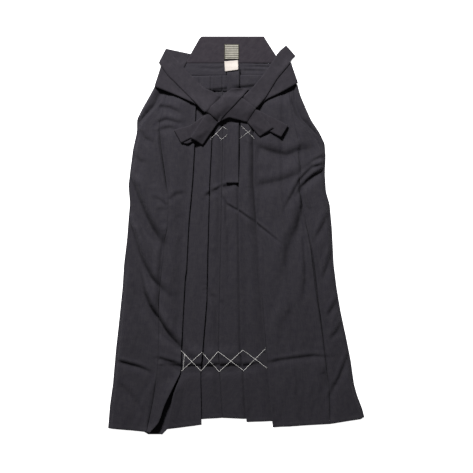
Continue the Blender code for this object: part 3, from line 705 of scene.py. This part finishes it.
def right_pleats():
    """The right front: two pleats that open to the left."""
    seam_at = shift(SEAM[1], -SEAM_GAP / 2)
    outer = outer_front(1)
    strip_4 = strip_front(TOP, FOLD_4)
    low = flat_at(BASE)
    under_5, under_4 = shift(FOLD_5, RIGHT_UNDERLAP), mix(FOLD_4, FOLD_5, INNER_UNDERLAP)

    def beside_fold(x, y):
        """The strip falls towards its neighbour's fold: steeply above, and evenly below."""
        off = FOLD_5(y) - CLEAR - x
        room = np.maximum((1.0 - INNER_UNDERLAP) * (FOLD_5(y) - FOLD_4(y)) - 2 * CLEAR, 12.0)
        steep = smooth((y - SIDE_FOLD_TOP) / 60.0 + 1.0)
        share = (np.clip(off / room, 0, 1) * (1.0 - steep)
                 + (1.0 - (1.0 - np.clip(off / SIDE_FALL[1], 0, 1)) ** 2.6) * steep)
        return BASE + (strip_4(x, y) + SIDE_FALL[0] * steep - BASE) * share

    columns = [(seam_at, HEM_OUTER_RIGHT, outer, steps_over(seam_at, FOLD_5)),
               (shift(FOLD_5, 3.0), HEM_OUTER_RIGHT, outer, 2)]
    columns += pleat_fold(-1, FOLD_5, under_5, HEM_OUTER_RIGHT, outer_top(1))
    columns += [(shift(FOLD_5, -CLEAR), HEM_STRIP_4, low, 2),
                (shift(FOLD_5, -CLEAR - 3.5), HEM_STRIP_4, beside_fold, 3),
                (shift(under_4, CLEAR), HEM_STRIP_4, beside_fold, 8),
                (shift(FOLD_4, 3.0), HEM_STRIP_4, strip_4, 2)]
    columns += pleat_fold(-1, FOLD_4, under_4, HEM_STRIP_4, strip_4)
    columns.append((shift(FOLD_4, CENTRE_LAP + GAP), HEM_CENTRE, low, 0))
    return panel("front_right_pleats_cloth", columns)


def side_panel(name, side, hem):
    """An outer front width, from the slit and the side seam to the first seam."""
    seam_at = shift(SEAM[side], side * SEAM_GAP / 2)
    edge_at = lambda y: front_edge(side, y)
    height = outer_front(side)
    return panel(name, [(edge_at, hem, height, 5), (mix(edge_at, seam_at, 0.12), hem, height, 26),
                        (seam_at, hem, height, 0)])


# ---- laid bands

def rows_along(table, step=4.0):
    """Centre-line rows along a band, from the two ends of a few rows across it."""
    rows = []
    for start, end in zip(table, table[1:]):
        start, end = np.array(start, float), np.array(end, float)
        steps = max(1, int(round(np.abs(end - start).max() / step)))
        last = steps + 1 if tuple(end) == tuple(map(float, table[-1])) else steps
        rows += [start + (end - start) * k / steps for k in range(last)]
    return np.array(rows)


def eased(rows):
    """Rows with the corners between stretches eased, and the two ends kept."""
    for _ in range(3):
        inner = (rows[:-2] + 2 * rows[1:-1] + rows[2:]) / 4
        rows = np.concatenate([rows[:1], inner, rows[-1:]])
    return rows


def height_at(x, y, laid):
    """Height of the highest piece at one place."""
    start = Vector((x, y, ABOVE))
    hits = [tree.ray_cast(start, DOWN)[0] for tree in laid]
    return max([hit.z for hit in hits if hit], default=0.0)


def floor_under(x, y, reach, laid):
    """Height of the highest piece within reach of each place."""
    steps = (-reach, -reach / 2, 0.0, reach / 2, reach)
    top = np.zeros(x.shape)
    for at in np.ndindex(x.shape):
        top[at] = max(height_at(x[at] + dx, y[at] + dy, laid) for dx in steps for dy in steps)
    return np.maximum(top, 0.0)


def lay(rows, across, wall, laid, passes=90, reach=3.5):
    """A band on what is down: it bridges small hollows and never cuts what carries it."""
    share = np.linspace(0, 1, across + 1)
    x = rows[:, 0:1] + (rows[:, 2:3] - rows[:, 0:1]) * share
    y = rows[:, 1:2] + (rows[:, 3:4] - rows[:, 1:2]) * share
    top = floor_under(x, y, reach, laid)
    lowest = top + wall / 2 + np.where(top > 0, GAP, 0.0)
    z = lowest.copy()
    for _ in range(passes):
        padded = np.pad(z, 1, mode="edge")
        calm = (2 * padded[:-2, 1:-1] + 2 * padded[2:, 1:-1] + padded[1:-1, :-2]
                + padded[1:-1, 2:]) / 6
        z = np.maximum(lowest, calm)
    return np.stack([x, y, z], axis=2)


def fold_rows(before, after):
    """Rows round the fold from one stretch of a band to the next, which comes back over it."""
    out = before[-1] - before[-3]
    out = out / np.linalg.norm(out[:, :2], axis=1, keepdims=True) * [1, 1, 0]
    rows = []
    for angle in (30, 60, 90, 120, 150):
        turn = math.radians(angle)
        share = (1 - math.cos(turn)) / 2
        rows.append(before[-1] * (1 - share) + after[0] * share + out * math.sin(turn))
    return np.array(rows)


def tie_wall(grid):
    """Thickness of a tie: full down its middle, thin at the pressed edges."""
    place = np.abs(np.linspace(-1, 1, TIE_ACROSS + 1))
    across = TIE_EDGE + (TIE - TIE_EDGE) * np.sqrt(np.clip(1 - place ** 4, 0, 1))
    return np.broadcast_to(across, grid.shape[:2])


def settled(grid):
    """A band with the crossing's lower edge sunk towards the pleats."""
    x, y = grid[..., 0], grid[..., 1]
    foot = np.interp(x, *zip(*CROSSING_FOOT))
    near = smooth((foot + SETTLE_WAY - y) / SETTLE_WAY)
    near = near * smooth((x - CROSSING_X[0]) / 24) * smooth((CROSSING_X[1] - x) / 24)
    out = grid.copy()
    out[..., 2] -= SETTLE * near * np.maximum(grid[..., 2] - SETTLE_ON, 0.0)
    return out


def along(grid):
    """How far each row of a band is from its first, down the middle."""
    middle = grid[:, grid.shape[1] // 2, :2]
    return np.cumsum(np.linalg.norm(np.diff(middle, axis=0, prepend=middle[:1]), axis=1))


def length_to(table, row):
    """How far a row of a band's table is from its first, down the middle."""
    middle = np.array(table, float)[:row + 1].reshape(-1, 2, 2).mean(axis=1)
    return float(np.linalg.norm(np.diff(middle, axis=0), axis=1).sum())


def tie(name, shape, root_laid, stands_to=None, inward_lift=0.0, goes_under=None,
        end_lift=0.0, tip_lift=0.0, tail_lift=0.0, passes=90):
    """A tie: its root, the stretch over the garment, and the end that comes back under it.

    The lower edge stands off the pleats up to one row of the table, or the whole tie stands up
    at the row where it goes under the crossing.
    """
    root = lay(eased(rows_along(shape["root"])), TIE_ACROSS, TIE, root_laid, passes=20)
    hidden = [root]
    if shape["tail"]:
        tail = lay(eased(rows_along(shape["tail"])), TIE_ACROSS, TIE, LAID, passes=60)
        tail[..., 2] += tail_lift
        hidden.append(tail)
    under = LAID + [carrier(part + [0, 0, TIE / 2]) for part in hidden]
    top = lay(eased(rows_along(shape["top"])), TIE_ACROSS, TIE, under, passes)
    run = along(top)[:, None]
    if stands_to is not None:
        share = np.linspace(1, 0, TIE_ACROSS + 1)
        ends = length_to(shape["top"], stands_to)
        rise = TIE_LIFT[0] + inward_lift * np.clip(run / ends, 0, 1)
        top[..., 2] += rise * share ** 2 * smooth((ends - run) / 40.0) * smooth(run / 20.0 + 0.4)
    carried = top.copy()
    if goes_under is not None:
        under_at = length_to(shape["top"], goes_under)
        top[..., 2] += end_lift * smooth((run - under_at + UNDER_RUN) / UNDER_RUN) * smooth(
            (under_at + 2.0 - run) / 4.0)
        top[..., 2] += tip_lift * smooth((run - under_at - TIP_RUN[0]) / TIP_RUN[1])
    stretches = [root, fold_rows(root, top), top]
    if shape["tail"]:
        stretches += [fold_rows(top, tail), tail]
    grid = np.concatenate(stretches)
    LAID.append(carrier(carried + [0, 0, TIE / 2]))
    return cloth_piece(name, settled(grid), tie_wall(grid))


def wrapped(name, table, pressed_to):
    """A stretch of tie round the crossing, thin where it starts and where it's pressed flat."""
    rows = eased(rows_along(table, 3.0))
    below = lay(rows, TIE_ACROSS, TIE, LAID, passes=0, reach=0.3)
    grid = lay(rows, TIE_ACROSS, TIE, LAID, passes=20)
    LAID.append(carrier(grid + [0, 0, TIE / 2]))
    share = np.linspace(0, 1, TIE_ACROSS + 1)
    pressed = smooth((pressed_to + 6.0 - grid[:, :1, 1]) / 8.0) * smooth(1.0 - share / 0.45)
    started = WRAP_START[0] * smooth(1.0 - along(grid)[:, None] / WRAP_START[1])
    thin = np.maximum(pressed, started * np.ones_like(pressed))
    grid[..., 2] += thin * np.minimum(below[..., 2] - grid[..., 2], 0.0)
    wall = tie_wall(grid)
    grid[..., 2] -= thin * (wall / 2 + GAP - 0.1)
    return cloth_piece(name, settled(grid), wall * (1.0 - thin) + WRAP_THIN * thin)


def waistband():
    """The band across the front: it stands up in the opening, and the pleats dent it."""
    table = [(x, low, x, high) for x, low, high in WAISTBAND]
    grid = lay(eased(rows_along(table, 2.0)), 14, BAND, LAID, 12)
    x, y = grid[..., 0], grid[..., 1]
    free = smooth((x - OPENING_X[0]) / 20) * smooth((OPENING_X[1] - x) / 20)
    # it rolls up above a line that climbs a little to the right
    grid[..., 2] += BAND_ROLL * free * smooth((y - 391.0 - 0.1 * (x + 60)) / 8.0)
    for place, depth in BAND_DENTS:
        grid[..., 2] -= depth * np.exp(-((x - place) / 2.2) ** 2)
    LAID.append(carrier(grid + [0, 0, BAND / 2]))
    return cloth_piece("front_waistband_cloth", grid, BAND)


def centre_strip():
    """The strip that hangs from the board: its end curls, and its right side stands up."""
    grid = lay(eased(rows_along(CENTRE_STRIP)), 10, BAND, LAID, passes=30)
    grid[-7:, :, 2] += STRIP_CURL * np.linspace(0, 1, 7)[:, None] ** 2
    y = grid[..., 1]
    free = (STRIP_LIFT[0] * smooth((y - STRIP_FREE_Y[0]) / 12)
            + STRIP_LIFT[1] * smooth((STRIP_FREE_Y[1] - y) / 12)
            * smooth((y - STRIP_HELD_Y) / 90))
    hump = np.linspace(0, 1, grid.shape[1]) ** 2
    hump[-1] = 0.0
    grid[..., 2] += free * hump
    grid[:, -2, 0] = grid[:, -1, 0] - STRIP_TURN
    LAID.append(carrier(grid + [0, 0, BAND / 2]))
    return cloth_piece("centre_strip_cloth", settled(grid), BAND)


def back_board():
    """The board: a stiff plate with a rounded rim, covered in cloth."""
    upper_y, foot_y = BOARD_ROWS[0][0], BOARD_ROWS[-1][0]
    rows = np.concatenate([[upper_y, 537.5, 536], np.arange(533, 467, -3), [467.5, foot_y]])
    left, right = straight(BOARD_ROWS, rows, 1), straight(BOARD_ROWS, rows, 2)
    share = np.concatenate([[0, 0.004, 0.01, 0.02], np.linspace(0.04, 0.96, 60),
                            [0.98, 0.99, 0.996, 1]])
    x = left[:, None] + (right - left)[:, None] * share
    y = np.broadcast_to(rows[:, None], x.shape)
    to_edge = np.minimum(np.minimum(upper_y - y, y - foot_y),
                         np.minimum(x - left[:, None], right[:, None] - x))
    wall = BOARD - BOARD_THINNING * (1 - np.sqrt(np.clip(to_edge / 2.5, 0, 1)))
    wall = wall + 0.1 * QUICK_WAVES(x, y) * smooth(to_edge / 10)
    LAID.append(carrier(np.stack([x, y, wall + 0.05], axis=2)))
    return cloth_piece("back_board_cover", np.stack([x, y, wall / 2 + 0.05], axis=2), wall)


def flat_label(name, table, lift=0.0):
    """A small flat piece sewn on, whose lower end may stand up."""
    grid = lay(rows_along(table, 2.0), 16, LABEL, LAID, passes=60, reach=1.5)
    grid[..., 2] += lift * np.linspace(0, 1, len(grid))[:, None] ** 2
    LAID.append(carrier(grid + [0, 0, LABEL / 2]))
    return cloth_piece(name, grid, LABEL)


# ---- threads

def tube(points, radius, first, sides=8):
    """Points and faces of a closed round thread along a route; its points count on from first."""
    tangent = np.gradient(points, axis=0)
    tangent /= np.linalg.norm(tangent, axis=1, keepdims=True)
    side = np.cross(tangent, [0, 0, 1.0])
    side /= np.linalg.norm(side, axis=1, keepdims=True)
    up = np.cross(side, tangent)
    angle = np.linspace(0, 2 * math.pi, sides, endpoint=False)
    ring = (points[:, None] + radius * (side[:, None] * np.cos(angle)[None, :, None]
                                        + up[:, None] * np.sin(angle)[None, :, None]))
    faces = []
    last = first + (len(points) - 1) * sides
    round_it = [(s, (s + 1) % sides) for s in range(sides)]
    for k in range(first, last, sides):
        faces += [[k + s, k + t, k + sides + t, k + sides + s] for s, t in round_it]
    for s, t in round_it:
        faces += [[first + t, first + s, last + sides], [last + s, last + t, last + sides + 1]]
    return np.concatenate([ring.reshape(-1, 3), points[:1], points[-1:]]), faces


def threads(name, routes, radius):
    """A row of basting: each thread goes over the ones before it and dips where it's sewn down."""
    all_points, all_faces = [], []
    for order, route in enumerate(routes):
        path = []
        for start, end in zip(route, route[1:]):
            run = math.dist(start, end)
            steps = max(2, int(run / 3))
            for k in range(steps + (1 if end is route[-1] else 0)):
                f = k / steps
                x, y = start[0] + (end[0] - start[0]) * f, start[1] + (end[1] - start[1]) * f
                sunk = radius * THREAD_DIP * (1 - min(1.0, min(f, 1 - f) * run / 3.0))
                path.append((x, y, height_at(x, y, LAID) + radius * (1.0 + 0.9 * order) - sunk))
        path = np.array(path)
        for _ in range(3):
            path[1:-1, 2] = np.maximum(path[1:-1, 2], (path[:-2, 2] + path[2:, 2]) / 2)
        points, faces = tube(path, radius, sum(map(len, all_points)))
        all_points.append(points)
        all_faces += faces
    return mesh_piece(name, np.concatenate(all_points), all_faces)


# ---- materials

def linear(hex_colour):
    """An sRGB hex colour as linear red, green, blue and alpha."""
    values = [int(hex_colour[k:k + 2], 16) / 255 for k in (0, 2, 4)]
    return [v / 12.92 if v <= 0.04045 else ((v + 0.055) / 1.055) ** 2.4 for v in values] + [1.0]


def node(tree, kind, settings=None, **links):
    """Adds a node, sets its properties and inputs, and links other nodes' outputs to it.

    An input goes by its name, or by i and its number where names repeat.
    """
    added = tree.nodes.new(kind)
    for key, value in (settings or {}).items():
        setattr(added, key, value)
    for key, value in links.items():
        socket = added.inputs[int(key[1:]) if key[1:].isdigit() else key.replace("_", " ")]
        if isinstance(value, bpy.types.NodeSocket):
            tree.links.new(value, socket)
        else:
            socket.default_value = value
    return added


def plain(name, colour, rough, sheen=0.0):
    """A material of one colour."""
    material = bpy.data.materials.new(name)
    material.use_nodes = True
    surface = material.node_tree.nodes["Principled BSDF"]
    surface.inputs["Base Color"].default_value = linear(colour)
    surface.inputs["Roughness"].default_value = rough
    surface.inputs["Sheen Weight"].default_value = sheen
    return material


def woven(name, dark, light, rough, sheen, bump, streaks=0.3):
    """Polyester and rayon yarn in a close plain weave: matt, a little soft on its folds."""
    material = plain(name, dark, rough, sheen)
    tree = material.node_tree
    surface = tree.nodes["Principled BSDF"]
    flat = {"noise_dimensions": "2D"}
    uv = node(tree, "ShaderNodeUVMap", {"uv_map": "cloth"}).outputs["UV"]
    # slubs run along both yarns: 3 mm wide and 30 mm long down the cloth, shorter across it
    down = node(tree, "ShaderNodeMapping", Vector=uv, Scale=(1 / (3 * MM), 1 / (30 * MM), 1.0))
    warp = node(tree, "ShaderNodeTexNoise", flat, Vector=down.outputs[0], Scale=1.0, Detail=2.0,
                Roughness=0.6)
    over = node(tree, "ShaderNodeMapping", Vector=uv, Scale=(1 / (20 * MM), 1 / (3 * MM), 1.0))
    weft = node(tree, "ShaderNodeTexNoise", flat, Vector=over.outputs[0], Scale=1.0, Detail=2.0,
                Roughness=0.6)
    # cloth that has been folded and handled is uneven over 14 mm or so
    patch = node(tree, "ShaderNodeTexNoise", flat, Vector=uv, Scale=1 / (14 * MM), Detail=4.0,
                 Roughness=0.65)
    # yarns are 0.5 mm apart, drawn 1.6 mm apart so that they show
    weave = node(tree, "ShaderNodeTexNoise", flat, Vector=uv, Scale=1 / (1.6 * MM), Detail=2.0,
                 Roughness=0.5)
    tone = node(tree, "ShaderNodeMath", {"operation": "MULTIPLY"}, i0=warp.outputs[0], i1=streaks)
    for share, part in ((streaks * 0.6, weft), (0.8 - streaks * 1.6, patch), (0.2, weave)):
        tone = node(tree, "ShaderNodeMath", {"operation": "MULTIPLY_ADD"},
                    i0=part.outputs[0], i1=share, i2=tone.outputs[0])
    ramp = node(tree, "ShaderNodeMapRange", i0=tone.outputs[0], i1=0.32, i2=0.68)
    colour = node(tree, "ShaderNodeMix", {"data_type": "RGBA"}, i0=ramp.outputs[0],
                  i6=linear(dark), i7=linear(light))
    tree.links.new(colour.outputs[2], surface.inputs["Base Color"])
    heights = node(tree, "ShaderNodeMath", {"operation": "MULTIPLY_ADD"},
                   i0=patch.outputs[0], i1=1.5, i2=weave.outputs[0])
    relief = node(tree, "ShaderNodeBump", Strength=bump, Distance=0.6 * MM,
                  Height=heights.outputs[0])
    tree.links.new(relief.outputs[0], surface.inputs["Normal"])
    # loose fibres scatter what a smooth yarn would mirror
    surface.inputs["Specular IOR Level"].default_value = 0.08
    surface.inputs["Sheen Roughness"].default_value = 0.5
    return material


def ribbed(name, dark, light, rib):
    """A patch woven tightly with metal-coated yarn: dark ribs across it and a dark edge."""
    material = woven(name, dark, light, 0.55, 0.0, 0.3)
    tree = material.node_tree
    surface = tree.nodes["Principled BSDF"]
    cloth = surface.inputs["Base Color"].links[0].from_socket
    uv = node(tree, "ShaderNodeUVMap", {"uv_map": "cloth"})
    across = node(tree, "ShaderNodeSeparateXYZ", i0=uv.outputs["UV"])
    marks = []
    for axis, size in (("X", PATCH[1] - PATCH[0]), ("Y", PATCH[3] - PATCH[2])):
        from_middle = node(tree, "ShaderNodeMath", {"operation": "SUBTRACT"},
                           i0=across.outputs[axis], i1=size / 2 * MM)
        away = node(tree, "ShaderNodeMath", {"operation": "ABSOLUTE"}, i0=from_middle.outputs[0])
        marks.append(node(tree, "ShaderNodeMapRange", i0=away.outputs[0],
                          i1=(size / 2 - PATCH_RIM[1]) * MM,
                          i2=(size / 2 - PATCH_RIM[0]) * MM).outputs[0])
    turn = node(tree, "ShaderNodeMath", {"operation": "MULTIPLY"},
                i0=across.outputs["Y"], i1=2 * math.pi / (PATCH_RIB * MM))
    wave = node(tree, "ShaderNodeMath", {"operation": "SINE"}, i0=turn.outputs[0])
    marks.append(node(tree, "ShaderNodeMapRange", i0=wave.outputs[0], i1=0.0, i2=0.7).outputs[0])
    share = marks[0]
    for mark in marks[1:]:
        share = node(tree, "ShaderNodeMath", {"operation": "MAXIMUM"}, i0=share, i1=mark).outputs[0]
    mixed = node(tree, "ShaderNodeMix", {"data_type": "RGBA"}, i0=share, i6=cloth, i7=linear(rib))
    tree.links.new(mixed.outputs[2], surface.inputs["Base Color"])
    return material


# the yarns' uneven shades and a faint bloom on the folds, and no shine
PANEL_CLOTH = woven("suiting cloth, dark navy", "2b2930", "38363a", 0.9, 0.02, 0.5)
# doubled and pressed: the same yarns, flatter and with fewer streaks
TIE_CLOTH = woven("pressed suiting cloth, dark navy", "2b292e", "363338", 0.9, 0.02, 0.4, 0.15)
# cloth stretched over a stiff board lies without folds; it is the panels' cloth with its colour
# painted a little lighter, a painted highlight for the extra light it takes
BOARD_CLOTH_PAINTED_LIGHTER = woven("stretched suiting cloth, dark navy, painted lighter", "2e2a30", "3a363b",
                    0.9, 0.02, 0.4, 0.15)
# pale and dull silver, broken by its dark ribs
PATCH_CLOTH = ribbed("woven patch, silver-grey and black yarns", "8f8c82", "b9b5aa", "3f3d36")
# smooth and close, the palest cloth here
LABEL_CLOTH = woven("woven polyester label, white", "b9b1ab", "c3bbb5", 0.8, 0.0, 0.1)
# soft and a little fuzzy, so it stays bright from every side
THREAD_COTTON = plain("cotton basting thread, white", "f4f2ee", 0.8, 0.1)


# ---- making the garment

def finish(piece, material, node_name):
    """Gives a piece its cloth, hangs it on the root, and hides the part that it replaces."""
    piece.data.materials.append(material)
    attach(piece, "root")
    if node_name:
        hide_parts(node_name)


backs = back_panels()
ground = list(LAID)
finish(backs[0], PANEL_CLOTH, "back_left")
finish(backs[1], PANEL_CLOTH, "back_right")
for name, table, flat, area in (("gusset_left", GUSSET_LEFT, (0.064, 0.548), 0.0205),
                                ("gusset_right", GUSSET_RIGHT, (0.073, 0.546), 0.023)):
    finish(gusset(name + "_cloth", table), PANEL_CLOTH, name)
finish(left_pleats(), PANEL_CLOTH, "front_left_pleats")
finish(right_pleats(), PANEL_CLOTH, "front_right_pleats")
for name, side, hem, flat, area in (
        ("front_left_side", -1, HEM_SIDE_LEFT, (0.12, 0.958), 0.088),
        ("front_right_side", 1, HEM_SIDE_RIGHT, (0.10, 0.937), 0.054)):
    finish(side_panel(name + "_cloth", side, hem), PANEL_CLOTH, name)
finish(waistband(), PANEL_CLOTH, "front_waistband")
finish(centre_strip(), PANEL_CLOTH, "centre_strip")
# the board's cover gets the cloth whose colour is painted lighter for the light it takes
finish(back_board(), BOARD_CLOTH_PAINTED_LIGHTER, "back_board")
x0, x1, y0, y1 = PATCH
finish(flat_label("back_patch_cloth", ((x0, y1, x1, y1), (x0, y0, x1, y0))), PATCH_CLOTH,
       "back_patch")
finish(flat_label("size_label_cloth", SIZE_LABEL, 2.0), LABEL_CLOTH, "size_label")
# the roots of the back ties lie under all but the backs
for name, shape, length, laid, stand in (
        ("front_tie_left", FRONT_TIE_LEFT, 0.47, LAID,
         dict(stands_to=4, inward_lift=TIE_LIFT[1], tail_lift=1.2)),
        ("front_tie_right", FRONT_TIE_RIGHT, 0.47, LAID, dict(stands_to=3, tail_lift=2.0)),
        ("back_tie_right", BACK_TIE_RIGHT, 0.42, ground,
         dict(goes_under=5, end_lift=2.8, tip_lift=3.5, passes=30)),
        ("back_tie_left", BACK_TIE_LEFT, 0.45, ground,
         dict(goes_under=5, end_lift=6.4, passes=30))):
    finish(tie(name + "_cloth", shape, laid, **stand), TIE_CLOTH, name)
for name, table, pressed_to, flat in (
        ("tie_wrap_left", WRAP_LEFT, 0.0, (0.062, 0.088)),
        ("tie_wrap_right", WRAP_RIGHT, WRAP_PRESSED_Y, (0.045, 0.11))):
    finish(wrapped(name + "_cloth", table, pressed_to), TIE_CLOTH, name)
for name, routes in BASTING.items():
    finish(threads(name, routes, THREAD[name] / 2), THREAD_COTTON, None)


# ---- stage, light and camera

FLOOR_DROP = 0.4 * MM   # keeps the floor clear of the backs
FRAME_WIDTH = 1.2818    # metres across the picture, at the floor
WHITE = (1.0, 1.0, 1.0, 1.0)

bpy.ops.mesh.primitive_grid_add(x_subdivisions=2, y_subdivisions=2, size=12.0,
                                location=(0.0, 0.0, -FLOOR_DROP))
floor = bpy.context.object
floor.name = "studio_floor"
floor.data.materials.append(plain("acrylic sheet, white, lit from below", "f2f2f2", 0.9))
glow = floor.data.materials[0].node_tree.nodes["Principled BSDF"]
glow.inputs["Emission Color"].default_value = WHITE
glow.inputs["Emission Strength"].default_value = 1.0

scene = bpy.context.scene
scene.view_settings.view_transform = "Standard"
scene.world = bpy.data.worlds.new("studio")
scene.world.use_nodes = True
background = scene.world.node_tree.nodes["Background"]
background.inputs["Color"].default_value = WHITE
background.inputs["Strength"].default_value = 0.074

# one softbox behind the waist, to the left, turned to the middle of the garment
light = bpy.data.lights.new("key softbox", "AREA")
light.shape = "RECTANGLE"
light.size, light.size_y = 0.5, 0.4
light.energy = 153.0
lamp = bpy.data.objects.new("key softbox", light)
scene.collection.objects.link(lamp)
lamp.location = (-0.63, 2.36, 2.05)
lamp.rotation_euler = (-lamp.location).to_track_quat("-Z", "Y").to_euler()

# the camera looks straight down
camera = bpy.data.cameras.new("camera")
camera.lens = 135.0
camera.sensor_width = 36.0
camera.clip_end = 50.0
eye = bpy.data.objects.new("camera", camera)
scene.collection.objects.link(eye)
eye.location = (0.0008, -0.0030, FRAME_WIDTH * camera.lens / camera.sensor_width)
scene.camera = eye
